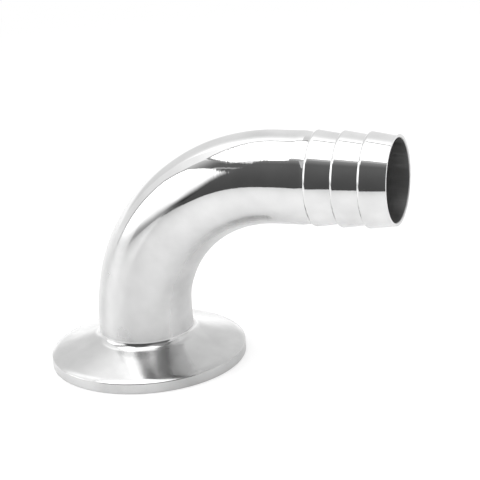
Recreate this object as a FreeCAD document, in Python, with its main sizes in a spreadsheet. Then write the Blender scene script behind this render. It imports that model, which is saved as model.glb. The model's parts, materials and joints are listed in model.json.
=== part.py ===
import FreeCAD, Part
import math
import os
import Sketcher

# Sanitary hose barb elbow, mirror-polished stainless steel.
# The origin is the centre of the ferrule's mating face, which lies at z = 0 and faces down.
# The ferrule and the upright leg share the Z axis; the barbed leg points along +X.

os.makedirs("parts", exist_ok=True)
doc = FreeCAD.newDocument("hose_barb_elbow")

# Driving dimensions, in millimetres and degrees
SIZES = [
    ("ferrule_diameter", 50.5),   # outside of the clamp rim
    ("rim_thickness", 2.8),       # upright edge of the rim
    ("cone_angle", 20),           # slope of the back of the ferrule, which the clamp grips
    ("rim_break", 0.25),          # edge break on both edges of the rim
    ("groove_inset", 3.5),        # middle of the gasket groove, measured in from the rim
    ("groove_width", 4.45),       # width of the gasket groove at the face
    ("groove_floor", 1.7),        # width of its flat floor
    ("groove_depth", 1.6),        # depth of the floor below the face
    ("tube_diameter", 23.8),      # outside of the tube
    ("wall_thickness", 1.4),      # tube wall
    ("neck_fillet", 1.3),         # hollow between the ferrule cone and the tube
    ("neck_length", 4.0),         # straight tube from the top of the cone to the bend
    ("bend_radius", 39.3),        # centre line of the right-angle bend
    ("spigot_run", 9.9),          # straight from the bend to the root of the first barb
    ("shoulder_run", 3.6),        # length over which the tube rounds down to that root
    ("root_step", 0.55),          # how far the barb roots lie below the tube's surface
    ("barb_height", 0.8),         # crest above root
    ("barb_pitch", 6.9),          # from one root to the next
    ("barb_count", 3),            # number of barbs
    ("crest_run", 1.0),           # from a barb's root to its crest
    ("back_run", 0.3),            # run of the steep lower part of a barb's back
    ("back_rise", 0.62),          # rise of that part above the root
    ("mouth_lip", 0.4),           # straight lip past the last barb
    ("mouth_chamfer", 0.2),       # edge break inside the mouth
]

sheet = doc.addObject("Spreadsheet::Sheet", "Sizes")
for row, (alias, value) in enumerate(SIZES, start=1):
    sheet.set("A%d" % row, alias)
    sheet.set("B%d" % row, str(value))
    sheet.setAlias("B%d" % row, alias)
doc.recompute()

# Lengths that several features share, as expressions on the sheet
FERRULE_RADIUS = "Sizes.ferrule_diameter / 2"
TUBE_RADIUS = "Sizes.tube_diameter / 2"
BORE_RADIUS = "Sizes.tube_diameter / 2 - Sizes.wall_thickness"
ROOT_RADIUS = "Sizes.tube_diameter / 2 - Sizes.root_step"
CREST_RADIUS = "Sizes.tube_diameter / 2 - Sizes.root_step + Sizes.barb_height"
CONE_RISE = "(Sizes.ferrule_diameter - Sizes.tube_diameter) / 2 * tan(Sizes.cone_angle * 1 deg)"
NECK_TOP = "Sizes.rim_thickness + " + CONE_RISE
BEND_START = NECK_TOP + " + Sizes.neck_length"
BARB_AXIS = BEND_START + " + Sizes.bend_radius"
MOUTH_RUN = "Sizes.spigot_run + Sizes.barb_count * Sizes.barb_pitch + Sizes.mouth_lip"

X_AXIS = FreeCAD.Vector(1, 0, 0)
Z_AXIS = FreeCAD.Vector(0, 0, 1)
ORIGIN = (-1, 1)


def measure(expression):
    """Value of an expression on the sheet, as a plain number."""
    value = sheet.evalExpression(expression)
    return getattr(value, "Value", value)


def origin_feature(body, role):
    """Axis or plane of the body's own origin."""
    for feature in body.Origin.OriginFeatures:
        if feature.Role == role:
            return feature
    raise RuntimeError("no origin feature " + role)


def sketch_on(body, role, name):
    """Empty sketch on one of the body's origin planes."""
    sketch = body.newObject("Sketcher::SketchObject", name)
    sketch.AttachmentSupport = [(origin_feature(body, role), "")]
    sketch.MapMode = "FlatFace"
    return sketch


def sketch_at_bend_end(body, name):
    """Sketch in the plane of the bend, with its origin where the bend ends and x along the barbs."""
    sketch = sketch_on(body, "XZ_Plane", name)
    sketch.setExpression("AttachmentOffset.Base.x", "Sizes.bend_radius")
    sketch.setExpression("AttachmentOffset.Base.y", BARB_AXIS)
    return sketch


def point(x_expression, y_expression):
    """Corner of a sketch, worked out from two expressions."""
    return FreeCAD.Vector(measure(x_expression), measure(y_expression), 0)


def size(sketch, name, expression, *ends):
    """Add one dimension to a sketch and bind it to an expression on the sheet."""
    index = sketch.addConstraint(Sketcher.Constraint(*ends, measure(expression)))
    sketch.renameConstraint(index, name)
    sketch.setExpression("Constraints." + name, expression)


def tie(sketch, kind, *ends):
    """Add one geometric constraint to a sketch."""
    sketch.addConstraint(Sketcher.Constraint(kind, *ends))


def close_loop(sketch, edges):
    """Join each edge's end to the next one's start, given as (edge, start, end) corner numbers."""
    for this_edge, next_edge in zip(edges, edges[1:] + edges[:1]):
        tie(sketch, "Coincident", this_edge[0], this_edge[2], next_edge[0], next_edge[1])


def path_sketch(body, name, last_run):
    """Centre line of the tube: straight up, round the bend, and last_run along the barb axis."""
    sketch = sketch_on(body, "XZ_Plane", name)
    foot = FreeCAD.Vector(0, 0, 0)
    bend_start = point("0", BEND_START)
    bend_middle = point("Sizes.bend_radius", BEND_START)
    bend_end = point("Sizes.bend_radius", BARB_AXIS)
    far_end = point("Sizes.bend_radius + " + last_run, BARB_AXIS)
    upright = sketch.addGeometry(Part.LineSegment(foot, bend_start))
    circle = Part.Circle(bend_middle, Z_AXIS, measure("Sizes.bend_radius"))
    bend = sketch.addGeometry(Part.ArcOfCircle(circle, math.pi / 2, math.pi))
    level = sketch.addGeometry(Part.LineSegment(bend_end, far_end))
    tie(sketch, "Coincident", upright, 1, *ORIGIN)
    tie(sketch, "Vertical", upright)
    tie(sketch, "Tangent", upright, 2, bend, 2)
    tie(sketch, "Tangent", bend, 1, level, 1)
    tie(sketch, "Horizontal", level)
    size(sketch, "bend_start", BEND_START, "DistanceY", upright, 1, upright, 2)
    size(sketch, "bend_radius", "Sizes.bend_radius", "Radius", bend)
    size(sketch, "last_run", last_run, "DistanceX", level, 1, level, 2)
    return sketch


def round_section(body, name, radius):
    """Circle about the Z axis at the mating face, the section that is swept along the centre line."""
    sketch = sketch_on(body, "XY_Plane", name)
    circle = Part.Circle(FreeCAD.Vector(0, 0, 0), Z_AXIS, measure(radius))
    ring = sketch.addGeometry(circle)
    tie(sketch, "Coincident", ring, 3, *ORIGIN)
    size(sketch, "radius", radius, "Radius", ring)
    return sketch


def sweep(body, kind, name, section, path):
    """Pipe feature of one section along the three edges of a centre line."""
    feature = body.newObject(kind, name)
    feature.Profile = section
    feature.Spine = (path, ["Edge1", "Edge2", "Edge3"])
    section.Visibility = False
    path.Visibility = False
    return feature


def turn(body, kind, name, profile, axis):
    """Full turn of a profile about one of its sketch's own axes."""
    feature = body.newObject(kind, name)
    feature.Profile = profile
    feature.ReferenceAxis = (profile, [axis])
    feature.Angle = 360
    profile.Visibility = False
    return feature


def ferrule_profile(body):
    """Half section of the clamp ferrule: flat face, upright rim, cone, and a hollow into its stub.

    Both edges of the rim are broken. The two sharp corners of the cone, where it would meet
    the rim and the tube, are kept as construction points that carry its sizes.
    """
    sketch = sketch_on(body, "XZ_Plane", "FerruleProfile")
    slope = math.radians(measure("Sizes.cone_angle"))
    edge_break = measure("Sizes.rim_break")
    radius = measure("Sizes.neck_fillet")
    face_centre = point("0", "0")
    face_corner = point(FERRULE_RADIUS, "0")
    rim_corner = point(FERRULE_RADIUS, "Sizes.rim_thickness")
    neck_corner = point(TUBE_RADIUS, NECK_TOP)
    stub_edge = point(TUBE_RADIUS, BEND_START)
    stub_centre = point("0", BEND_START)
    outward = FreeCAD.Vector(1, 0, 0)
    upward = FreeCAD.Vector(0, 1, 0)
    up_the_cone = FreeCAD.Vector(-math.cos(slope), math.sin(slope), 0)
    face_end = face_corner - outward * edge_break
    rim_start = face_corner + upward * edge_break
    rim_end = rim_corner - upward * edge_break
    cone_start = rim_corner + up_the_cone * (edge_break / math.cos(slope))
    tangent_length = radius * math.tan((math.pi / 2 - slope) / 2)
    cone_end = neck_corner - up_the_cone * tangent_length
    stub_start = neck_corner + upward * tangent_length
    hollow_circle = Part.Circle(stub_start + outward * radius, Z_AXIS, radius)
    face = sketch.addGeometry(Part.LineSegment(face_centre, face_end))
    low_break = sketch.addGeometry(Part.LineSegment(face_end, rim_start))
    rim = sketch.addGeometry(Part.LineSegment(rim_start, rim_end))
    high_break = sketch.addGeometry(Part.LineSegment(rim_end, cone_start))
    cone = sketch.addGeometry(Part.LineSegment(cone_start, cone_end))
    hollow = sketch.addGeometry(Part.ArcOfCircle(hollow_circle, math.pi, 3 * math.pi / 2 - slope))
    stub = sketch.addGeometry(Part.LineSegment(stub_start, stub_edge))
    stub_top = sketch.addGeometry(Part.LineSegment(stub_edge, stub_centre))
    axis = sketch.addGeometry(Part.LineSegment(stub_centre, face_centre))
    sharp_rim = sketch.addGeometry(Part.Point(rim_corner), True)
    sharp_neck = sketch.addGeometry(Part.Point(neck_corner), True)
    tie(sketch, "Coincident", face, 1, *ORIGIN)
    tie(sketch, "Horizontal", face)
    tie(sketch, "Coincident", face, 2, low_break, 1)
    tie(sketch, "Coincident", low_break, 2, rim, 1)
    tie(sketch, "Vertical", rim)
    tie(sketch, "Coincident", rim, 2, high_break, 1)
    tie(sketch, "Coincident", high_break, 2, cone, 1)
    tie(sketch, "Tangent", cone, 2, hollow, 2)
    tie(sketch, "Tangent", hollow, 1, stub, 1)
    tie(sketch, "Vertical", stub)
    tie(sketch, "Coincident", stub, 2, stub_top, 1)
    tie(sketch, "Horizontal", stub_top)
    tie(sketch, "Coincident", stub_top, 2, axis, 1)
    tie(sketch, "Coincident", axis, 2, *ORIGIN)
    tie(sketch, "Vertical", axis)
    tie(sketch, "PointOnObject", sharp_rim, 1, rim)
    tie(sketch, "PointOnObject", sharp_rim, 1, cone)
    tie(sketch, "PointOnObject", sharp_neck, 1, stub)
    tie(sketch, "PointOnObject", sharp_neck, 1, cone)
    size(sketch, "ferrule_radius", FERRULE_RADIUS, "DistanceX", *ORIGIN, sharp_rim, 1)
    size(sketch, "rim_thickness", "Sizes.rim_thickness", "DistanceY", *ORIGIN, sharp_rim, 1)
    size(sketch, "low_break_in", "Sizes.rim_break", "DistanceX", low_break, 1, low_break, 2)
    size(sketch, "low_break_up", "Sizes.rim_break", "DistanceY", low_break, 1, low_break, 2)
    size(sketch, "high_break_in", "Sizes.rim_break", "DistanceX", high_break, 2, high_break, 1)
    size(sketch, "high_break_down", "Sizes.rim_break", "DistanceY", high_break, 1, sharp_rim, 1)
    size(sketch, "neck_radius", TUBE_RADIUS, "DistanceX", *ORIGIN, sharp_neck, 1)
    size(sketch, "neck_top", NECK_TOP, "DistanceY", *ORIGIN, sharp_neck, 1)
    size(sketch, "neck_fillet", "Sizes.neck_fillet", "Radius", hollow)
    size(sketch, "bend_start", BEND_START, "DistanceY", axis, 2, axis, 1)
    return sketch


def groove_profile(body):
    """Section of the gasket groove: straight flanks down to a flat floor, open at the mating face."""
    sketch = sketch_on(body, "XZ_Plane", "GrooveProfile")
    middle = FERRULE_RADIUS + " - Sizes.groove_inset"
    outer_lip = point(middle + " + Sizes.groove_width / 2", "0")
    outer_floor = point(middle + " + Sizes.groove_floor / 2", "Sizes.groove_depth")
    inner_floor = point(middle + " - Sizes.groove_floor / 2", "Sizes.groove_depth")
    inner_lip = point(middle + " - Sizes.groove_width / 2", "0")
    mouth = sketch.addGeometry(Part.LineSegment(inner_lip, outer_lip))
    outer_flank = sketch.addGeometry(Part.LineSegment(outer_lip, outer_floor))
    floor = sketch.addGeometry(Part.LineSegment(outer_floor, inner_floor))
    inner_flank = sketch.addGeometry(Part.LineSegment(inner_floor, inner_lip))
    close_loop(sketch, [(mouth, 1, 2), (outer_flank, 1, 2), (floor, 1, 2), (inner_flank, 1, 2)])
    tie(sketch, "PointOnObject", mouth, 1, -1)
    tie(sketch, "Horizontal", mouth)
    tie(sketch, "Horizontal", floor)
    tie(sketch, "Equal", outer_flank, inner_flank)
    size(sketch, "outer_lip", middle + " + Sizes.groove_width / 2", "DistanceX", *ORIGIN, mouth, 2)
    size(sketch, "groove_width", "Sizes.groove_width", "DistanceX", mouth, 1, mouth, 2)
    size(sketch, "groove_floor", "Sizes.groove_floor", "DistanceX", floor, 2, floor, 1)
    size(sketch, "groove_depth", "Sizes.groove_depth", "DistanceY", outer_flank, 1, outer_flank, 2)
    return sketch


def spigot_profile(body):
    """Half section of the barbed end without its barbs: rounded shoulder, then root cylinder."""
    sketch = sketch_at_bend_end(body, "SpigotProfile")
    shoulder_start = "Sizes.spigot_run - Sizes.shoulder_run"
    tube_corner = point(shoulder_start, TUBE_RADIUS)
    root_corner = point("Sizes.spigot_run", ROOT_RADIUS)
    mouth_corner = point(MOUTH_RUN, ROOT_RADIUS)
    mouth_centre = point(MOUTH_RUN, "0")
    inner_centre = point(shoulder_start, "0")
    chord = root_corner - tube_corner
    radius = chord.Length ** 2 / (-2 * chord.y)
    middle = tube_corner - FreeCAD.Vector(0, radius, 0)
    low_angle = math.atan2(root_corner.y - middle.y, root_corner.x - middle.x)
    circle = Part.Circle(middle, Z_AXIS, radius)
    shoulder = sketch.addGeometry(Part.ArcOfCircle(circle, low_angle, math.pi / 2))
    root = sketch.addGeometry(Part.LineSegment(root_corner, mouth_corner))
    mouth = sketch.addGeometry(Part.LineSegment(mouth_corner, mouth_centre))
    axis = sketch.addGeometry(Part.LineSegment(mouth_centre, inner_centre))
    inner = sketch.addGeometry(Part.LineSegment(inner_centre, tube_corner))
    close_loop(sketch, [(shoulder, 2, 1), (root, 1, 2), (mouth, 1, 2), (axis, 1, 2), (inner, 1, 2)])
    tie(sketch, "Horizontal", root)
    tie(sketch, "Vertical", mouth)
    tie(sketch, "PointOnObject", axis, 1, -1)
    tie(sketch, "Horizontal", axis)
    tie(sketch, "Vertical", inner)
    tie(sketch, "Vertical", shoulder, 3, shoulder, 2)
    size(sketch, "spigot_run", "Sizes.spigot_run", "DistanceX", *ORIGIN, root, 1)
    size(sketch, "shoulder_run", "Sizes.shoulder_run", "DistanceX", shoulder, 2, shoulder, 1)
    size(sketch, "tube_radius", TUBE_RADIUS, "DistanceY", inner, 1, inner, 2)
    size(sketch, "root_radius", ROOT_RADIUS, "DistanceY", mouth, 2, mouth, 1)
    size(sketch, "mouth_run", MOUTH_RUN, "DistanceX", *ORIGIN, mouth, 1)
    return sketch


def barb_profile(body):
    """Section of one barb ring: a back of two flats up to the crest, then a taper to the next root."""
    sketch = sketch_at_bend_end(body, "BarbProfile")
    root = point("Sizes.spigot_run", ROOT_RADIUS)
    shoulder = point("Sizes.spigot_run + Sizes.back_run", ROOT_RADIUS + " + Sizes.back_rise")
    crest = point("Sizes.spigot_run + Sizes.crest_run", CREST_RADIUS)
    toe = point("Sizes.spigot_run + Sizes.barb_pitch", ROOT_RADIUS)
    toe_inside = point("Sizes.spigot_run + Sizes.barb_pitch", BORE_RADIUS)
    root_inside = point("Sizes.spigot_run", BORE_RADIUS)
    steep = sketch.addGeometry(Part.LineSegment(root, shoulder))
    shallow = sketch.addGeometry(Part.LineSegment(shoulder, crest))
    taper = sketch.addGeometry(Part.LineSegment(crest, toe))
    toe_side = sketch.addGeometry(Part.LineSegment(toe, toe_inside))
    inside = sketch.addGeometry(Part.LineSegment(toe_inside, root_inside))
    root_side = sketch.addGeometry(Part.LineSegment(root_inside, root))
    close_loop(sketch, [
        (steep, 1, 2), (shallow, 1, 2), (taper, 1, 2), (toe_side, 1, 2), (inside, 1, 2), (root_side, 1, 2)])
    tie(sketch, "Vertical", toe_side)
    tie(sketch, "Horizontal", inside)
    tie(sketch, "Vertical", root_side)
    size(sketch, "spigot_run", "Sizes.spigot_run", "DistanceX", *ORIGIN, steep, 1)
    size(sketch, "root_radius", ROOT_RADIUS, "DistanceY", *ORIGIN, steep, 1)
    size(sketch, "inside_radius", BORE_RADIUS, "DistanceY", *ORIGIN, inside, 2)
    size(sketch, "back_run", "Sizes.back_run", "DistanceX", steep, 1, steep, 2)
    size(sketch, "back_rise", "Sizes.back_rise", "DistanceY", steep, 1, steep, 2)
    size(sketch, "crest_run", "Sizes.crest_run", "DistanceX", steep, 1, shallow, 2)
    size(sketch, "barb_height", "Sizes.barb_height", "DistanceY", steep, 1, shallow, 2)
    size(sketch, "barb_pitch", "Sizes.barb_pitch", "DistanceX", steep, 1, taper, 2)
    size(sketch, "toe_radius", ROOT_RADIUS, "DistanceY", *ORIGIN, taper, 2)
    return sketch


SAME_PLACE = 1e-4


def ring_edges(feature, centre, axis, radius):
    """Names of the feature's circular edges with this centre, axis and radius."""
    names = []
    for number, edge in enumerate(feature.Shape.Edges, start=1):
        curve = edge.Curve
        if not isinstance(curve, Part.Circle):
            continue
        on_centre = (curve.Center - centre).Length < SAME_PLACE
        along_axis = abs(abs(curve.Axis.dot(axis)) - 1) < SAME_PLACE
        if on_centre and along_axis and abs(curve.Radius - radius) < SAME_PLACE:
            names.append("Edge%d" % number)
    if not names:
        raise RuntimeError("no edge of radius %.2f on %s" % (radius, feature.Name))
    return names


elbow = doc.addObject("PartDesign::Body", "Elbow")
elbow.Label = "hose_barb_elbow"
elbow.Placement = FreeCAD.Placement()

ferrule = turn(elbow, "PartDesign::Revolution", "Ferrule", ferrule_profile(elbow), "V_Axis")

tube_section = round_section(elbow, "TubeSection", TUBE_RADIUS)
tube_path = path_sketch(elbow, "TubePath", "Sizes.spigot_run - Sizes.shoulder_run")
tube = sweep(elbow, "PartDesign::AdditivePipe", "Tube", tube_section, tube_path)

spigot = turn(elbow, "PartDesign::Revolution", "Spigot", spigot_profile(elbow), "H_Axis")

barb = turn(elbow, "PartDesign::Revolution", "Barb", barb_profile(elbow), "H_Axis")
doc.recompute()
barbs = elbow.newObject("PartDesign::LinearPattern", "Barbs")
barbs.Originals = [barb]
barbs.Direction = (origin_feature(elbow, "X_Axis"), [""])
barbs.setExpression("Length", "(Sizes.barb_count - 1) * Sizes.barb_pitch")
barbs.setExpression("Occurrences", "Sizes.barb_count")
elbow.Tip = barbs
doc.recompute()

bore_section = round_section(elbow, "BoreSection", BORE_RADIUS)
bore_path = path_sketch(elbow, "BorePath", MOUTH_RUN)
bore = sweep(elbow, "PartDesign::SubtractivePipe", "Bore", bore_section, bore_path)

groove = turn(elbow, "PartDesign::Groove", "GasketGroove", groove_profile(elbow), "V_Axis")
doc.recompute()

mouth_centre = FreeCAD.Vector(measure("Sizes.bend_radius + " + MOUTH_RUN), 0, measure(BARB_AXIS))
mouth = elbow.newObject("PartDesign::Chamfer", "MouthChamfer")
mouth.Base = (groove, ring_edges(groove, mouth_centre, X_AXIS, measure(BORE_RADIUS)))
mouth.setExpression("Size", "Sizes.mouth_chamfer")
elbow.Tip = mouth
doc.recompute()

for item in doc.Objects:
    if "Invalid" in item.State or "Error" in item.State:
        raise RuntimeError("%s did not compute: %s" % (item.Name, item.State))

sub_parts = [elbow]
for sub_part in sub_parts:
    shape = sub_part.Shape
    if shape.isNull() or not shape.isValid():
        raise RuntimeError(sub_part.Label + " has no valid shape")
for sub_part in sub_parts:
    sub_part.Shape.exportStep("parts/%s.step" % sub_part.Label)
    print("%s: %d solid, volume %.1f mm3" % (
        sub_part.Label, len(sub_part.Shape.Solids), sub_part.Shape.Volume))
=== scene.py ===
import json
import math

import bmesh
import bpy
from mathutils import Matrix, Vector


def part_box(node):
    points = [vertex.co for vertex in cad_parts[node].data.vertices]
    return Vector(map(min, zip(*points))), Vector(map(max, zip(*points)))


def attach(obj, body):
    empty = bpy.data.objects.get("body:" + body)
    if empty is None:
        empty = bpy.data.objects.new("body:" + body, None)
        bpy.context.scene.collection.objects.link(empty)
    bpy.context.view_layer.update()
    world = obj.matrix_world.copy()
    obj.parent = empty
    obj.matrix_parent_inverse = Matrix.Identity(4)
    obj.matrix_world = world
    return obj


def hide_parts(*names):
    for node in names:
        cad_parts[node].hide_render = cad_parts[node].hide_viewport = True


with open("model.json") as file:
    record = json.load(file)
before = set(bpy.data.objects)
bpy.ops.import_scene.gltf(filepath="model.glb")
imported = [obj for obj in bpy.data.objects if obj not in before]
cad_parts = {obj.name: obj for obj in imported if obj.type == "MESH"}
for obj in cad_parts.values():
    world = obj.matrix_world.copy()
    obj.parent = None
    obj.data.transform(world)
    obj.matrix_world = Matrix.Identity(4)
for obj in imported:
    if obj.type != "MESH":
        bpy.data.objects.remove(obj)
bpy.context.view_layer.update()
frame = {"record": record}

# The clamp ferrule
# A disc turned from stainless bar, with a flat face below, a thin upright rim and a cone behind it
# that the clamp grips. Its stub is butt welded to the tube, and the weld is ground flush.

NODE = "hose_barb_elbow"
MM = 0.001
box_low, box_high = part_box(NODE)
hose_end = next(m for m in frame["record"]["mounts"] if m["name"] == "hose_barb")
TUBE_RADIUS = 11.9 * MM
BORE_RADIUS = 10.5 * MM
BEND_RADIUS = 39.3 * MM
AXIS_HEIGHT = hose_end["pos_m"][2]      # of the barbed leg
BEND_START = AXIS_HEIGHT - BEND_RADIUS
FERRULE_RADIUS = -box_low.x
RIM_THICKNESS = 2.8 * MM
RIM_ROUND = 0.3 * MM
RIM_STEPS = 6
CONE_ANGLE = math.radians(18)
STUB_SWELL = 0.25 * MM          # how much thicker the stub is than the tube that it is welded to
NECK_TIGHT = 1.5 * MM           # radius of the hollow against the stub
NECK_WIDE = 3.0 * MM            # and where it runs out on the cone
NECK_TURN = math.radians(42)    # how far round the tight part goes
NECK_STEPS = 8
ROLL_RUN = 1.6 * MM             # the buffing wheel rolls the cone over towards its edge
ROLL_ANGLE = math.radians(15)   # how much steeper the cone ends there
ROLL_RISE = 0.18 * MM           # how far above the rim the straight cone would have ended
ROLL_STEPS = 12
GROOVE_INSET = 3.5 * MM         # from the rim to the middle of the gasket's groove
GROOVE_WIDTH = 4.45 * MM
GROOVE_FLOOR = 1.7 * MM
GROOVE_DEPTH = 1.6 * MM
AROUND = 160                    # faces round the tube
HOLD = 0.06 * MM                # a ring this far past each round keeps the flat beside it flat


def arc(middle, radius, start, end, steps):
    """Points of an arc from one angle to another, as (radius, height) pairs."""
    angles = [start + (end - start) * step / steps for step in range(steps + 1)]
    return [(middle[0] + radius * math.cos(a), middle[1] + radius * math.sin(a)) for a in angles]


def held(point, towards):
    """The point that lies HOLD away from a round's end, on the flat that leads on from it."""
    step = Vector(towards) - Vector(point)
    return tuple(Vector(point) + step.normalized() * HOLD)


def turn(mesh, profile, place, axis):
    """Spin a profile of (radius, distance) pairs a full turn about an axis. Place puts each pair."""
    points = [mesh.verts.new(place(radius, distance)) for radius, distance in profile]
    lines = [mesh.edges.new(pair) for pair in zip(points, points[1:])]
    centre = place(0, 0)
    bmesh.ops.spin(mesh, geom=points + lines, cent=centre, axis=axis, dvec=(0, 0, 0), angle=math.tau,
                   steps=AROUND, use_merge=True, use_normal_flip=False, use_duplicate=False)


elbow = bmesh.new()
stub_radius = TUBE_RADIUS + STUB_SWELL
hollow_growth = NECK_WIDE - NECK_TIGHT
hollow_reach = NECK_TIGHT + hollow_growth * math.cos(NECK_TURN)
cone_top = stub_radius + hollow_reach - NECK_WIDE * math.sin(CONE_ANGLE)
cone_height = RIM_THICKNESS + ROLL_RISE + (FERRULE_RADIUS - cone_top) * math.tan(CONE_ANGLE)
wide_middle = (stub_radius + hollow_reach, cone_height + NECK_WIDE * math.cos(CONE_ANGLE))
tight_middle = (stub_radius + NECK_TIGHT, wide_middle[1] - hollow_growth * math.sin(NECK_TURN))
edge_angle = CONE_ANGLE + ROLL_ANGLE
roll_radius = ROLL_RUN / (math.sin(edge_angle) - math.sin(CONE_ANGLE))
roll_start = (FERRULE_RADIUS - ROLL_RUN, RIM_THICKNESS + ROLL_RISE + ROLL_RUN * math.tan(CONE_ANGLE))
roll_middle = (
    roll_start[0] - roll_radius * math.sin(CONE_ANGLE),
    roll_start[1] - roll_radius * math.cos(CONE_ANGLE),
)
roll_round = arc(roll_middle, roll_radius, math.pi / 2 - edge_angle, math.pi / 2 - CONE_ANGLE, ROLL_STEPS)
rim_reach = RIM_ROUND * math.tan(math.radians(45) - edge_angle / 2)
rim_middle = (FERRULE_RADIUS - RIM_ROUND, roll_round[0][1] - rim_reach)
low_round = arc((FERRULE_RADIUS - RIM_ROUND, RIM_ROUND), RIM_ROUND, -math.pi / 2, 0, RIM_STEPS)
high_round = arc(rim_middle, RIM_ROUND, 0, math.pi / 2 - edge_angle, RIM_STEPS)
neck_round = arc(wide_middle, NECK_WIDE, 1.5 * math.pi - CONE_ANGLE, math.pi + NECK_TURN, NECK_STEPS)
neck_round += arc(tight_middle, NECK_TIGHT, math.pi + NECK_TURN, math.pi, NECK_STEPS)[1:]
groove_radius = FERRULE_RADIUS - GROOVE_INSET
groove = [
    (groove_radius - GROOVE_WIDTH / 2, 0),
    (groove_radius - GROOVE_FLOOR / 2, GROOVE_DEPTH),
    (groove_radius + GROOVE_FLOOR / 2, GROOVE_DEPTH),
    (groove_radius + GROOVE_WIDTH / 2, 0),
]
stub_end = (stub_radius, BEND_START)
ferrule_profile = [(BORE_RADIUS, BEND_START), (BORE_RADIUS, 0), *groove, held(low_round[0], groove[-1])]
ferrule_profile += [*low_round, held(low_round[-1], high_round[0]), held(high_round[0], low_round[-1])]
ferrule_profile += [*high_round, *roll_round[1:], held(roll_round[-1], neck_round[0])]
ferrule_profile += [held(neck_round[0], roll_round[-1]), *neck_round, held(neck_round[-1], stub_end)]
ferrule_profile += [held(stub_end, neck_round[-1]), (TUBE_RADIUS, BEND_START)]
turn(elbow, ferrule_profile, lambda radius, height: Vector((radius, 0, height)), (0, 0, 1))

# The bend
# Stainless tube of 23.8 mm with a 1.4 mm wall, drawn round a former through a right angle. It is cut
# square at both ends and butt welded to the ferrule's stub and to the barbed end.

BEND_STEPS = 96
bend_centre = Vector((BEND_RADIUS, 0, BEND_START))
for tube_skin in (TUBE_RADIUS, BORE_RADIUS):
    ring = bmesh.ops.create_circle(elbow, segments=AROUND, radius=tube_skin)["verts"]
    bmesh.ops.translate(elbow, verts=ring, vec=(0, 0, BEND_START))
    ring_edges = list({edge for vert in ring for edge in vert.link_edges})
    bmesh.ops.spin(elbow, geom=ring + ring_edges, cent=bend_centre, axis=(0, 1, 0), dvec=(0, 0, 0),
                   angle=math.pi / 2, steps=BEND_STEPS, use_merge=False, use_normal_flip=False,
                   use_duplicate=False)

# The barbed end
# Turned from stainless and butt welded to the tube. It rounds down to the barbs' roots, and each of
# the three barbs has a rounded back and a long taper that lets the hose slide on from the mouth.

ROOT_RADIUS = 11.35 * MM
SPIGOT_RUN = 9.9 * MM           # from the weld to the first barb's back
SHOULDER_RUN = 3.6 * MM
SHOULDER_STEPS = 10
BARB_HEIGHT = 0.8 * MM
BARB_PITCH = 6.9 * MM
BARB_COUNT = 3
CREST_RUN = 1.0 * MM            # from a barb's back to its crest
CREST_STEPS = 14
MOUTH_CHAMFER = 0.2 * MM
MOUTH_RUN = box_high.x - BEND_RADIUS

shoulder_fall = TUBE_RADIUS - ROOT_RADIUS
shoulder_radius = (SHOULDER_RUN ** 2 + shoulder_fall ** 2) / (2 * shoulder_fall)
shoulder_angle = math.asin(SHOULDER_RUN / shoulder_radius)
shoulder_start = SPIGOT_RUN - SHOULDER_RUN
shoulder_middle = (TUBE_RADIUS - shoulder_radius, shoulder_start)
shoulder_round = arc(shoulder_middle, shoulder_radius, 0, shoulder_angle, SHOULDER_STEPS)
barb_profile = [(TUBE_RADIUS, 0), held(shoulder_round[0], (TUBE_RADIUS, 0)), *shoulder_round]

taper_angle = math.atan2(BARB_HEIGHT, BARB_PITCH - CREST_RUN)
back_chord = Vector((BARB_HEIGHT, CREST_RUN))
half_turn = math.atan2(BARB_HEIGHT, CREST_RUN) + taper_angle
back_radius = back_chord.length / (2 * math.sin(half_turn))
for barb in range(BARB_COUNT):
    crest = (ROOT_RADIUS + BARB_HEIGHT, SPIGOT_RUN + barb * BARB_PITCH + CREST_RUN)
    toe = (ROOT_RADIUS, SPIGOT_RUN + (barb + 1) * BARB_PITCH)
    back_middle = (
        crest[0] - back_radius * math.cos(taper_angle),
        crest[1] - back_radius * math.sin(taper_angle),
    )
    back_round = arc(back_middle, back_radius, taper_angle - 2 * half_turn, taper_angle, CREST_STEPS)
    barb_profile += [*back_round[1:], held(crest, toe), toe]

mouth = [
    (ROOT_RADIUS, MOUTH_RUN),
    (BORE_RADIUS + MOUTH_CHAMFER, MOUTH_RUN),
    (BORE_RADIUS, MOUTH_RUN - MOUTH_CHAMFER),
]
barb_profile += [*mouth, (BORE_RADIUS, 0)]
turn(elbow, barb_profile,
     lambda radius, run: Vector((BEND_RADIUS + run, 0, AXIS_HEIGHT + radius)), (1, 0, 0))

# The welded and polished elbow
# The three are welded and ground flush, so no seam shows. The outside is mirror polished on a belt, the
# ferrule is only turned and buffed, and the bore is as the tube mill left it.

SAME_PLACE = 0.002 * MM         # vertices nearer than this are one
SKIN_DEPTH = 0.1 * MM           # how far below the tube's outside a vertex still counts as on it
SWELL_RUN = 9 * MM              # the thicker stub is ground down to the tube over this much of the bend
ROUNDING = 1e-6
SHARP_ANGLE = math.radians(30)


def rank(face):
    """A number that puts faces in the order of their vertices."""
    low = sorted(vert.index for vert in face.verts)
    return (low[0] * len(elbow.verts) + low[1]) * len(elbow.verts) + low[2]


# A spin leaves its faces in another order each run, so they are put in order here.
bmesh.ops.remove_doubles(elbow, verts=elbow.verts, dist=SAME_PLACE)
elbow.verts.index_update()
elbow.faces.sort(key=rank)
bmesh.ops.recalc_face_normals(elbow, faces=elbow.faces)


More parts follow.
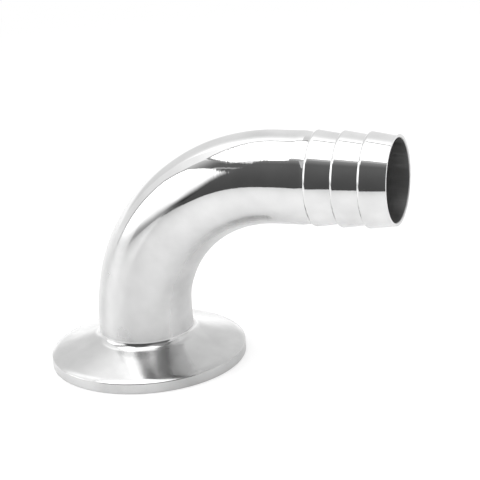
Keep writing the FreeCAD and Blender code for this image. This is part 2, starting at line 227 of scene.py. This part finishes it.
def straightened(point):
    """Where a point would lie if the tube were straight: outwards of the bend, sideways and along it."""
    if point.x > BEND_RADIUS:
        along = BEND_START + BEND_RADIUS * (math.pi / 2 - 1) + point.x
        return Vector((point.z - AXIS_HEIGHT, point.y, along))
    if point.z < BEND_START:
        return Vector((-point.x, point.y, point.z))
    reach = Vector((BEND_RADIUS - point.x, point.z - BEND_START))
    along = BEND_START + BEND_RADIUS * reach.angle(Vector((1, 0)))
    return Vector((reach.length - BEND_RADIUS, point.y, along))


for vert in elbow.verts:
    place = straightened(vert.co)
    over = (place.z - BEND_START) / SWELL_RUN
    if place.xy.length > TUBE_RADIUS - SKIN_DEPTH and -ROUNDING < over < 1:
        spoke = Vector((vert.co.x - BEND_RADIUS, 0, vert.co.z - BEND_START))
        centre = bend_centre + spoke.normalized() * BEND_RADIUS
        vert.co += (vert.co - centre).normalized() * STUB_SWELL * (0.5 + 0.5 * math.cos(math.pi * over))

OUTSIDE, FERRULE, BORE = range(3)
NECK_TOP = tight_middle[1]
along_tube = elbow.verts.layers.float_vector.new("along_tube")
for vert in elbow.verts:
    vert[along_tube] = straightened(vert.co)
for face in elbow.faces:
    middle = straightened(face.calc_center_median())
    if middle.xy.length < BORE_RADIUS + MOUTH_CHAMFER / 2:
        face.material_index = BORE
    elif middle.z < NECK_TOP:
        face.material_index = FERRULE
    else:
        face.material_index = OUTSIDE
elbow_mesh = bpy.data.meshes.new("polished_elbow")
elbow.to_mesh(elbow_mesh)
elbow.free()
elbow_mesh.shade_smooth()
elbow_mesh.set_sharp_from_angle(angle=SHARP_ANGLE)
polished_elbow = bpy.data.objects.new("polished_elbow", elbow_mesh)
bpy.context.scene.collection.objects.link(polished_elbow)
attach(polished_elbow, "root")
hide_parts(NODE)


def linear(hex_colour):
    """Linear RGBA of an sRGB hex colour."""
    channels = [int(hex_colour[i:i + 2], 16) / 255 for i in (1, 3, 5)]
    return [c / 12.92 if c <= 0.04045 else ((c + 0.055) / 1.055) ** 2.4 for c in channels] + [1]


def add_node(tree, kind, inputs=None, **settings):
    """Add a node, set its settings, and give each input a value or a link."""
    node = tree.nodes.new(kind)
    for name, value in settings.items():
        setattr(node, name, value)
    for name, value in (inputs or {}).items():
        if isinstance(value, bpy.types.NodeSocket):
            tree.links.new(value, node.inputs[name])
        else:
            node.inputs[name].default_value = value
    return node


def finish(name):
    """The elbow's next material, with no nodes yet: its tree, and the place along the tube."""
    material = bpy.data.materials.new(name)
    material.use_nodes = True
    material.node_tree.nodes.clear()
    place = add_node(material.node_tree, "ShaderNodeAttribute", attribute_name="along_tube")
    elbow_mesh.materials.append(material)
    return material.node_tree, place.outputs["Vector"]


# Mirror-polished stainless: the eye sees its surroundings, a little greyer and gently wavy from
# handwork, and fine marks round the tube fray the ends of each reflection. It is rougher where a belt
# hardly reaches, on the inside of the bend and at the foot beside the ferrule. At the foot its colour
# is also darker, as painted shade for the shaded table beside the ferrule that the foot mirrors.
CLOUD = 7 * MM                  # across one cloud of the haze that the polishing compound leaves
NOISE_LOW = 0.35                # a noise texture stays between these nearly everywhere
NOISE_HIGH = 0.7
POLISHED_CLEAR = 0.03           # roughness between the clouds, and in them
POLISHED_CLOUDED = 0.06
INSIDE_HAZE = 0.35              # roughness added on the inside of the bend
INSIDE_EDGE = -0.5 * TUBE_RADIUS
FOOT_HAZE = 0.22                # and at the foot
FOOT_HAZE_START = 24 * MM
FOOT_HAZE_END = 40 * MM
FOOT_PAINTED_SHADE = 0.88                # painted shade: the foot's colour, as a share of the colour further on
FOOT_PAINTED_SHADE_START = 25 * MM
FOOT_PAINTED_SHADE_END = 58 * MM
WAVE = 9 * MM                   # from crest to crest of the waviness
WAVE_HEIGHT = 0.07 * MM
MARK_WIDTH = 0.45 * MM          # a belt mark is a tenth of this, too fine to show
MARK_LENGTH = 3 * MM
MARK_HEIGHT = 0.015 * MM
WELD_PLACE = BEND_START + BEND_RADIUS * math.pi / 2
DRESSED = 14 * MM               # how far before the weld the belt was used again to grind it flush
DRESSED_PAST = 1 * MM           # and how far past it
MARK_FAINT = 0.1                # height of the marks elsewhere, as a share
tree, place = finish("mirror_polished_stainless")
split = add_node(tree, "ShaderNodeSeparateXYZ", {"Vector": place})
clouds = add_node(tree, "ShaderNodeTexNoise", {"Vector": place, "Scale": 1 / CLOUD, "Detail": 3.0})
waves = add_node(tree, "ShaderNodeTexNoise", {"Vector": place, "Scale": 1 / WAVE, "Detail": 1.0})
squeezed = add_node(tree, "ShaderNodeVectorMath", {
    0: place, 1: (1 / MARK_LENGTH, 1 / MARK_LENGTH, 1 / MARK_WIDTH)}, operation="MULTIPLY")
marks = add_node(tree, "ShaderNodeTexNoise", {
    "Vector": squeezed.outputs["Vector"], "Scale": 1.0, "Detail": 2.0})
inside = add_node(tree, "ShaderNodeMapRange", {
    "Value": split.outputs["X"], "From Min": -TUBE_RADIUS, "From Max": INSIDE_EDGE,
    "To Min": INSIDE_HAZE, "To Max": 0.0}, interpolation_type="SMOOTHSTEP")
haze = add_node(tree, "ShaderNodeMapRange", {
    "Value": clouds.outputs["Fac"], "From Min": NOISE_LOW, "From Max": NOISE_HIGH,
    "To Min": POLISHED_CLEAR, "To Max": POLISHED_CLOUDED})
foot = add_node(tree, "ShaderNodeMapRange", {
    "Value": split.outputs["Z"], "From Min": FOOT_HAZE_START, "From Max": FOOT_HAZE_END,
    "To Min": FOOT_HAZE, "To Max": 0.0}, interpolation_type="SMOOTHSTEP")
unreached = add_node(tree, "ShaderNodeMath", {0: inside.outputs["Result"], 1: foot.outputs["Result"]},
                     operation="MAXIMUM")
roughness = add_node(tree, "ShaderNodeMath", {0: haze.outputs["Result"], 1: unreached.outputs["Value"]},
                     operation="ADD")
buffed = add_node(tree, "ShaderNodeMix", {
    "Factor": clouds.outputs["Fac"], "A": linear("#F4F4F4"), "B": linear("#D4D4D4")}, data_type="RGBA")
# Painted shade: the foot's colour darkens towards the ferrule, for the shaded table that it mirrors there.
painted_shade = add_node(tree, "ShaderNodeMapRange", {
    "Value": split.outputs["Z"], "From Min": FOOT_PAINTED_SHADE_START, "From Max": FOOT_PAINTED_SHADE_END,
    "To Min": FOOT_PAINTED_SHADE, "To Max": 1.0}, interpolation_type="SMOOTHSTEP")
tone = add_node(tree, "ShaderNodeVectorMath", {
    0: buffed.outputs["Result"], "Scale": painted_shade.outputs["Result"]}, operation="SCALE")
before = add_node(tree, "ShaderNodeMapRange", {
    "Value": split.outputs["Z"], "From Min": WELD_PLACE - DRESSED, "From Max": WELD_PLACE - DRESSED / 2,
    "To Min": MARK_FAINT, "To Max": 1.0})
after = add_node(tree, "ShaderNodeMapRange", {
    "Value": split.outputs["Z"], "From Min": WELD_PLACE, "From Max": WELD_PLACE + DRESSED_PAST,
    "To Min": 1.0, "To Max": MARK_FAINT})
dressing = add_node(tree, "ShaderNodeMath", {0: before.outputs["Result"], 1: after.outputs["Result"]},
                    operation="MINIMUM")
relief = add_node(tree, "ShaderNodeMath", {0: marks.outputs["Fac"], 1: dressing.outputs["Value"]},
                  operation="MULTIPLY")
wavy = add_node(tree, "ShaderNodeBump", {
    "Height": waves.outputs["Fac"], "Strength": 1.0, "Distance": WAVE_HEIGHT})
marked = add_node(tree, "ShaderNodeBump", {
    "Height": relief.outputs["Value"], "Strength": 1.0, "Distance": MARK_HEIGHT,
    "Normal": wavy.outputs["Normal"]})
steel = add_node(tree, "ShaderNodeBsdfPrincipled", {
    "Base Color": tone.outputs["Vector"], "Metallic": 1.0, "Roughness": roughness.outputs["Value"],
    "Normal": marked.outputs["Normal"]})
add_node(tree, "ShaderNodeOutputMaterial", {"Surface": steel.outputs["BSDF"]})

# Buffed stainless: turned on a lathe and lightly buffed, so it is greyer, its reflections are softer,
# and faint rings from the tool run round it. Its colour is darker on the side below the barbed leg,
# as painted shade for the leg's shadow there.
RING_PITCH = 0.3 * MM           # twice the real feed of the tool, which is too fine to show
RING_HEIGHT = 0.0006 * MM
BUFFED_CLEAR = 0.1              # roughness between the clouds, and in them
BUFFED_CLOUDED = 0.2
BELOW_PAINTED_SHADE = 0.82               # painted shade: the colour below the leg, as a share of the colour elsewhere
BELOW_PAINTED_SHADE_START = -18 * MM
BELOW_PAINTED_SHADE_END = -6 * MM
tree, place = finish("buffed_turned_stainless")
split = add_node(tree, "ShaderNodeSeparateXYZ", {"Vector": place})
flat = add_node(tree, "ShaderNodeCombineXYZ", {"X": split.outputs["X"], "Y": split.outputs["Y"]})
reach = add_node(tree, "ShaderNodeVectorMath", {0: flat.outputs["Vector"]}, operation="LENGTH")
along = add_node(tree, "ShaderNodeMath", {0: reach.outputs["Value"], 1: split.outputs["Z"]},
                 operation="ADD")
rings = add_node(tree, "ShaderNodeTexNoise", {
    "W": along.outputs["Value"], "Scale": 1 / RING_PITCH, "Detail": 2.0}, noise_dimensions="1D")
clouds = add_node(tree, "ShaderNodeTexNoise", {"Vector": place, "Scale": 1 / CLOUD, "Detail": 3.0})
haze = add_node(tree, "ShaderNodeMapRange", {
    "Value": clouds.outputs["Fac"], "From Min": NOISE_LOW, "From Max": NOISE_HIGH,
    "To Min": BUFFED_CLEAR, "To Max": BUFFED_CLOUDED})
buffed = add_node(tree, "ShaderNodeMix", {
    "Factor": clouds.outputs["Fac"], "A": linear("#E8E8E8"), "B": linear("#C8C8C8")}, data_type="RGBA")
# Painted shade: the colour darkens on the side below the barbed leg.
painted_shade = add_node(tree, "ShaderNodeMapRange", {
    "Value": split.outputs["X"], "From Min": BELOW_PAINTED_SHADE_START, "From Max": BELOW_PAINTED_SHADE_END,
    "To Min": BELOW_PAINTED_SHADE, "To Max": 1.0}, interpolation_type="SMOOTHSTEP")
tone = add_node(tree, "ShaderNodeVectorMath", {
    0: buffed.outputs["Result"], "Scale": painted_shade.outputs["Result"]}, operation="SCALE")
ringed = add_node(tree, "ShaderNodeBump", {
    "Height": rings.outputs["Fac"], "Strength": 1.0, "Distance": RING_HEIGHT})
steel = add_node(tree, "ShaderNodeBsdfPrincipled", {
    "Base Color": tone.outputs["Vector"], "Metallic": 1.0, "Roughness": haze.outputs["Result"],
    "Normal": ringed.outputs["Normal"]})
add_node(tree, "ShaderNodeOutputMaterial", {"Surface": steel.outputs["BSDF"]})

# Drawn stainless: the tube mill's dull grey skin, with long faint lines where the mandrel dragged.
LINE_WIDTH = 0.8 * MM           # wider than the real lines, which are too fine to show
LINE_LENGTH = 30 * MM
DRAWN_SMOOTH = 0.33             # roughness along the lines, and between them
DRAWN_DULL = 0.48
tree, place = finish("drawn_bore_stainless")
squeezed = add_node(tree, "ShaderNodeVectorMath", {
    0: place, 1: (1 / LINE_WIDTH, 1 / LINE_WIDTH, 1 / LINE_LENGTH)}, operation="MULTIPLY")
lines = add_node(tree, "ShaderNodeTexNoise", {
    "Vector": squeezed.outputs["Vector"], "Scale": 1.0, "Detail": 3.0})
tone = add_node(tree, "ShaderNodeMix", {
    "Factor": lines.outputs["Fac"], "A": linear("#C4C4C4"), "B": linear("#A8A8A8")}, data_type="RGBA")
dull = add_node(tree, "ShaderNodeMapRange", {
    "Value": lines.outputs["Fac"], "From Min": NOISE_LOW, "From Max": NOISE_HIGH,
    "To Min": DRAWN_SMOOTH, "To Max": DRAWN_DULL})
steel = add_node(tree, "ShaderNodeBsdfPrincipled", {
    "Base Color": tone.outputs["Result"], "Metallic": 1.0, "Roughness": dull.outputs["Result"]})
add_node(tree, "ShaderNodeOutputMaterial", {"Surface": steel.outputs["BSDF"]})

# The studio
# A glossy white table with one softbox overhead and one at the left, both with dark backs. A dim room
# and a grey card are in front, pale paper is behind, and a wall is at each side. The polish shows them
# all as bands, and the camera sees only the table.


def emission(name, light, *fades):
    """A sheet's glow. Each fade multiplies it by one at its start and by its factor at its end."""
    glow = bpy.data.materials.new(name)
    glow.use_nodes = True
    nodes = glow.node_tree
    nodes.nodes.clear()
    place = add_node(nodes, "ShaderNodeTexCoord")
    split = add_node(nodes, "ShaderNodeSeparateXYZ", {"Vector": place.outputs["Object"]})
    strength = light
    for axis, start, end, factor in fades:
        change = add_node(nodes, "ShaderNodeMapRange", {
            "Value": split.outputs[axis], "From Min": start, "From Max": end,
            "To Min": 1.0, "To Max": factor}, interpolation_type="SMOOTHSTEP")
        product = add_node(nodes, "ShaderNodeMath", {0: change.outputs["Result"], 1: strength},
                           operation="MULTIPLY")
        strength = product.outputs["Value"]
    lamp = add_node(nodes, "ShaderNodeEmission", {"Strength": strength})
    add_node(nodes, "ShaderNodeOutputMaterial", {"Surface": lamp.outputs["Emission"]})
    return glow


def sheet(name, corners, material, lights_table=False):
    """A flat sheet of the studio, which the camera doesn't see."""
    shape = bmesh.new()
    bmesh.ops.contextual_create(shape, geom=[shape.verts.new(corner) for corner in corners])
    mesh = bpy.data.meshes.new(name)
    shape.to_mesh(mesh)
    shape.free()
    mesh.materials.append(material)
    item = bpy.data.objects.new(name, mesh)
    bpy.context.scene.collection.objects.link(item)
    item.visible_camera = False
    item.visible_diffuse = lights_table
    item.visible_shadow = lights_table


# The overhead softbox hangs level. Its dark back shows past the cloth all round, and its lip in front.
OVERHEAD_HEIGHT = 0.6
LIP_GAP = 0.002                 # between the cloth and its lip
BACK_GAP = 0.005                # between a cloth and the dark back behind it


def level(outline, height):
    """Corners of a level sheet, from (x, y) pairs."""
    return [(x, y, height) for x, y in outline]


overhead_outline = [(-0.48, -0.03), (-0.405, -0.24), (-0.355, -0.385), (-0.19, -0.40), (-0.14, -0.285),
                    (0.21, -0.29), (0.21, 0.27), (0.05, 0.25), (-0.22, 0.18), (-0.30, 0.115)]
overhead_lip_outline = [(-0.15, -0.28), (-0.15, -0.34), (0.24, -0.34), (0.24, -0.28)]
overhead_back_outline = [(-0.52, -0.02), (-0.44, -0.26), (-0.39, -0.42), (0.24, -0.34), (0.24, 0.33),
                         (0.08, 0.31), (0.04, 0.28), (-0.23, 0.208), (-0.315, 0.14)]
sheet("overhead_softbox", level(overhead_outline, OVERHEAD_HEIGHT),
      emission("overhead_cloth", 2.0, ("X", -0.05, -0.25, 1.25)), lights_table=True)
sheet("overhead_lip", level(overhead_lip_outline, OVERHEAD_HEIGHT + LIP_GAP),
      emission("overhead_lip", 0.54))
sheet("overhead_back", level(overhead_back_outline, OVERHEAD_HEIGHT + BACK_GAP),
      emission("overhead_back", 0.34))

# The left softbox stands on the table and faces the part, with a flap over its top, a dark frame round
# it and a grey cloth behind.
LEFT_WAY = math.radians(-63)    # round from the front
LEFT_REACH = 1.4                # from the part to the cloth


def on_left(outline, reach):
    """Corners of an upright sheet that faces the part from the left, from (across, height) pairs."""
    out = Vector((math.sin(LEFT_WAY), -math.cos(LEFT_WAY), 0)) * reach
    across = Vector((math.cos(LEFT_WAY), math.sin(LEFT_WAY), 0))
    return [out + across * side + Vector((0, 0, height)) for side, height in outline]


left_outline = [(-0.76, 0.0), (0.04, 0.0), (0.04, 1.18), (-0.46, 1.18), (-0.76, 0.85)]
left_side_outline = [(0.04, 0.0), (0.95, 0.0), (0.95, 0.78), (0.60, 0.97), (0.34, 1.14), (0.04, 1.18)]
left_flap_outline = [(0.30, 1.13), (0.80, 1.13), (0.80, 1.19), (0.30, 1.19)]
left_frame_outline = [(-0.83, 0.0), (0.0, 0.0), (0.0, 1.10), (-0.50, 1.22), (-0.83, 0.88)]
left_back_outline = [(-0.60, 1.0), (1.0, 0.3), (1.0, 1.60), (-0.60, 1.60)]
sheet("left_softbox", on_left(left_outline, LEFT_REACH),
      emission("left_cloth", 2.0, ("Y", -0.40, -0.90, 0.7), ("Z", 0.24, 0.04, 0.55)), lights_table=True)
sheet("left_softbox_side", on_left(left_side_outline, LEFT_REACH),
      emission("left_cloth_side", 2.0, ("Y", -0.40, -0.90, 0.7), ("Y", -1.15, -1.39, 0.05),
               ("Z", 0.26, 0.03, 0.3)), lights_table=True)
sheet("left_flap", on_left(left_flap_outline, LEFT_REACH), emission("left_flap", 0.6))
sheet("left_frame", on_left(left_frame_outline, LEFT_REACH + BACK_GAP), emission("left_frame", 0.15))
sheet("left_back", on_left(left_back_outline, LEFT_REACH + 2 * BACK_GAP),
      emission("left_back", 0.75, ("Y", 0.1, -0.9, 0.18)))

# The dim room in front has a grey card before it and turns back past the part on both sides, at the
# left as far as the dark end of the table.
ROOM_LEFT = -0.17
ROOM_RIGHT = 0.25
ROOM_FRONT = -0.355
ROOM_TOP = 0.66
CARD_FRONT = -0.353
CORNER = (-0.26, -0.45)         # where the room's left side meets the end of the table
room = emission("dark_room", 0.082, ("Z", 0.0, 0.42, 1.6), ("Z", 0.42, 0.62, 2.2), ("X", 0.08, 0.25, 1.6))


def panel(start, end, top):
    """Corners of an upright panel that stands on the table from one (x, y) place to another."""
    return [(*start, 0), (*end, 0), (*end, top), (*start, top)]


sheet("dark_room", panel((ROOM_LEFT, ROOM_FRONT), (ROOM_RIGHT, ROOM_FRONT), ROOM_TOP), room)
sheet("grey_card", [(0.15, CARD_FRONT, 0.36), (ROOM_RIGHT, CARD_FRONT, 0.32),
                    (ROOM_RIGHT, CARD_FRONT, ROOM_TOP), (0.09, CARD_FRONT, ROOM_TOP)],
      emission("grey_card", 0.66))
sheet("dark_side", [(ROOM_RIGHT, ROOM_FRONT, 0), (0.42, -0.12, 0), (0.42, -0.12, 0.35),
                    (0.507, 0, 0.42), (0.507, 0, 1.1), (ROOM_RIGHT, ROOM_FRONT, 0.9)],
      emission("dark_side", 0.15, ("Z", 0.1, 0.38, 2.8), ("X", 0.25, 0.40, 0.75)))
sheet("dark_corner", panel(CORNER, (ROOM_LEFT, ROOM_FRONT), ROOM_TOP), room)
sheet("table_end", [(*CORNER, 0), (*CORNER, 0.04), (-0.64, -0.80, 0.02), (-0.64, -0.80, 0)],
      emission("table_end", 0.11, ("X", -0.26, -0.60, 5.0)))

# Pale paper hangs behind the part, lit less at one side, between two plain walls.
PAPER_PLACE = 0.9
PAPER_SEAM = -0.1
PAPER_TOP = 3.0
WALL_LEFT = -2.0
sheet("backdrop", panel((WALL_LEFT, PAPER_PLACE), (PAPER_SEAM, PAPER_PLACE), PAPER_TOP),
      emission("backdrop_paper", 1.3, ("Z", 0.05, 0.32, 0.65), ("Z", 0.9, 1.9, 1.75),
               ("X", -0.5, -0.1, 1.12)))
sheet("backdrop_side", panel((PAPER_SEAM, PAPER_PLACE), (1.2, PAPER_PLACE), PAPER_TOP),
      emission("backdrop_side", 1.3, ("Z", 0.05, 0.32, 0.75), ("Z", 0.6, 1.3, 0.8)))
sheet("left_wall", panel((WALL_LEFT, -1.5), (WALL_LEFT, PAPER_PLACE), 4.0),
      emission("left_wall", 1.08, ("Z", 0.0, 0.5, 0.87), ("Z", 0.5, 3.0, 1.35)))
sheet("right_wall", panel((0.9, -0.9), (0.9, PAPER_PLACE), PAPER_TOP),
      emission("right_wall", 0.84, ("Z", 0.1, 0.5, 1.15), ("Y", 0.0, -0.9, 0.85)))

# White laminate: an even white with a soft gloss. The camera sees a pale shadow at the part that goes
# over into plain white, and the polish sees faint streaks of the room's light lying on the table.
TABLE_HALF = 3.0
WHITE_SHARE = 0.35              # of plain white in what the camera sees close to the part
WHITE_START = 0.05              # how far from the part this share starts to grow
WHITE_END = 0.35                # and where the table is plain white
SHADOW_LIFT = 0.3               # light that the camera sees added to the shadow
TABLE_GLOSS = 0.07
STREAKS = (                     # way round as a share of a turn, half widths full and faded, and light
    (0.05, 0.01, 0.05, 0.04),
    (0.27, 0.16, 0.32, 0.07),
    (0.52, 0.03, 0.11, 0.12),
    (0.87, 0.03, 0.12, 0.14),
)
table_mesh = bpy.data.meshes.new("table")
table_shape = bmesh.new()
bmesh.ops.create_grid(table_shape, x_segments=1, y_segments=1, size=TABLE_HALF)
table_shape.to_mesh(table_mesh)
table_shape.free()
table = bpy.data.objects.new("table", table_mesh)
bpy.context.scene.collection.objects.link(table)
laminate = bpy.data.materials.new("white_laminate")
laminate.use_nodes = True
tree = laminate.node_tree
tree.nodes.clear()
ray = add_node(tree, "ShaderNodeLightPath")
place = add_node(tree, "ShaderNodeTexCoord")
away = add_node(tree, "ShaderNodeVectorMath", {0: place.outputs["Object"]}, operation="LENGTH")
fade = add_node(tree, "ShaderNodeMapRange", {
    "Value": away.outputs["Value"], "From Min": WHITE_START, "From Max": WHITE_END,
    "To Min": WHITE_SHARE, "To Max": 1.0}, interpolation_type="SMOOTHSTEP")
seen = add_node(tree, "ShaderNodeMath", {0: ray.outputs["Is Camera Ray"], 1: fade.outputs["Result"]},
                operation="MULTIPLY")
gloss = add_node(tree, "ShaderNodeMapRange", {
    "Value": ray.outputs["Is Camera Ray"], "To Min": TABLE_GLOSS, "To Max": 0.0})
lift = add_node(tree, "ShaderNodeMath", {0: ray.outputs["Is Camera Ray"], 1: SHADOW_LIFT},
                operation="MULTIPLY")
bearing = add_node(tree, "ShaderNodeTexGradient", {"Vector": place.outputs["Object"]},
                   gradient_type="RADIAL")
thrown = lift.outputs["Value"]
for way, full, faded, light in STREAKS:
    aside = add_node(tree, "ShaderNodeMath", {0: bearing.outputs["Fac"], 1: way}, operation="SUBTRACT")
    apart = add_node(tree, "ShaderNodeMath", {0: aside.outputs["Value"]}, operation="ABSOLUTE")
    streak = add_node(tree, "ShaderNodeMapRange", {
        "Value": apart.outputs["Value"], "From Min": full, "From Max": faded,
        "To Min": light, "To Max": 0.0}, interpolation_type="SMOOTHSTEP")
    added = add_node(tree, "ShaderNodeMath", {
        0: ray.outputs["Is Glossy Ray"], 1: streak.outputs["Result"], 2: thrown},
        operation="MULTIPLY_ADD")
    thrown = added.outputs["Value"]
paint = add_node(tree, "ShaderNodeBsdfPrincipled", {
    "Base Color": linear("#E6E6E6"), "Roughness": 0.18, "Specular IOR Level": gloss.outputs["Result"],
    "Emission Color": (1, 1, 1, 1), "Emission Strength": thrown})
white = add_node(tree, "ShaderNodeEmission", {"Color": (1, 1, 1, 1), "Strength": 1.0})
blend = add_node(tree, "ShaderNodeMixShader", {
    0: seen.outputs["Value"], 1: paint.outputs["BSDF"], 2: white.outputs["Emission"]})
add_node(tree, "ShaderNodeOutputMaterial", {"Surface": blend.outputs["Shader"]})
table_mesh.materials.append(laminate)

world = bpy.data.worlds.new("studio")
world.use_nodes = True
bpy.context.scene.world = world
surroundings = world.node_tree.nodes["Background"]
surroundings.inputs["Color"].default_value = (1, 1, 1, 1)
surroundings.inputs["Strength"].default_value = 1.0

# The camera
# A long lens a little above the fitting and to the right of its plane, rolled slightly. Its place, aim
# and lens are fitted to the fitting's outline in the photograph.

AIM = Vector((27.72, 0, 33.33)) * MM
DISTANCE = 638.8 * MM
AZIMUTH = math.radians(20.653)
ELEVATION = math.radians(20.341)
ROLL = math.radians(-4.794)
LENS = 189.57                   # both in millimetres, as Blender takes them
SENSOR = 36
camera_data = bpy.data.cameras.new("camera")
camera_data.lens = LENS
camera_data.sensor_width = SENSOR
camera = bpy.data.objects.new("camera", camera_data)
bpy.context.scene.collection.objects.link(camera)
back = Vector((
    math.sin(AZIMUTH) * math.cos(ELEVATION), -math.cos(AZIMUTH) * math.cos(ELEVATION), math.sin(ELEVATION)))
camera.location = AIM + back * DISTANCE
camera.rotation_euler = (math.pi / 2 - ELEVATION, 0, AZIMUTH)
camera.rotation_euler.rotate_axis("Z", ROLL)
bpy.context.scene.camera = camera
bpy.context.scene.view_settings.view_transform = "Standard"

bpy.context.view_layer.update()
